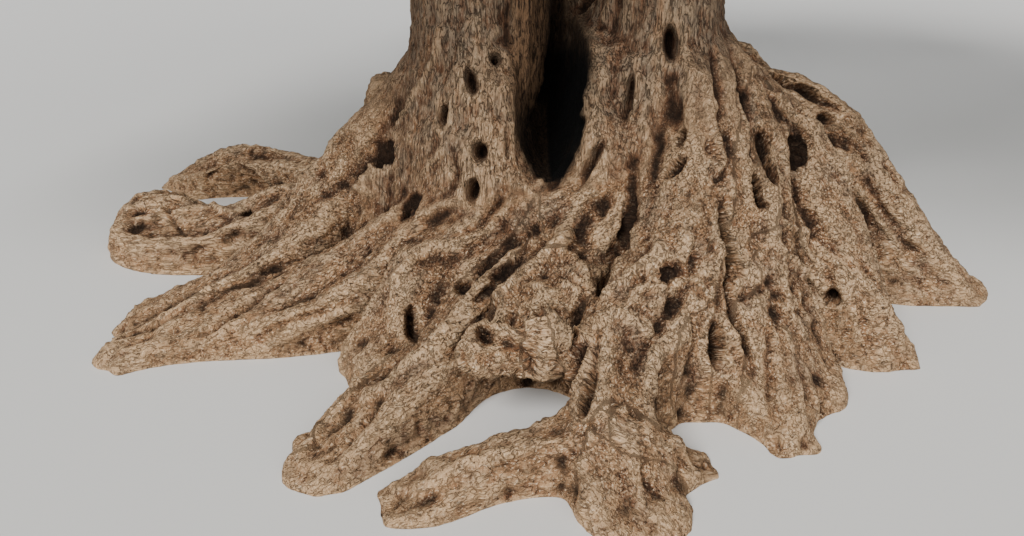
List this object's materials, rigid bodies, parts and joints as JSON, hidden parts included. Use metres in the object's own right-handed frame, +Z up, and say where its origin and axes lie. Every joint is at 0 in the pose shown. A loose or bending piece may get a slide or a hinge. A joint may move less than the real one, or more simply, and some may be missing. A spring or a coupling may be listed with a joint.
{
  "type": "olive tree",
  "caption": "Old olive tree with a hollow, deeply fluted trunk on a wide flare of surface roots, spreading boughs and a rounded open crown.",
  "frame": {"origin": "on the flat cut at ground level, between the two stems of the trunk", "axes": "+Z up, -Y towards the side that the hollow opens to, +X to the right seen from that side"},
  "size_m": [7.2501, 6.735, 6.0927],
  "materials": {
    "bark": "rough fissured grey-brown bark",
    "leaves": "small leathery leaves, grey-green above and silvery below"
  },
  "bodies": {
    "root": {"trunk": "bark", "bough_top_left": "bark", "bough_west": "bark", "bough_north_west": "bark", "bough_top_right": "bark", "bough_east": "bark", "bough_south_east": "bark", "bough_south_west": "bark", "bough_low_west": "bark", "bough_north": "bark", "bough_front": "bark", "bough_top_back": "bark", "bough_north_east": "bark", "bough_low_east": "bark", "bough_top_front": "bark", "bough_crest": "bark", "foliage_top_left": "leaves", "foliage_west": "leaves", "foliage_north_west": "leaves", "foliage_top_right": "leaves", "foliage_east": "leaves", "foliage_south_east": "leaves", "foliage_south_west": "leaves", "foliage_low_west": "leaves", "foliage_north": "leaves", "foliage_front": "leaves", "foliage_top_back": "leaves", "foliage_north_east": "leaves", "foliage_low_east": "leaves", "foliage_top_front": "leaves", "foliage_crest": "leaves"}
  },
  "joints": []
}
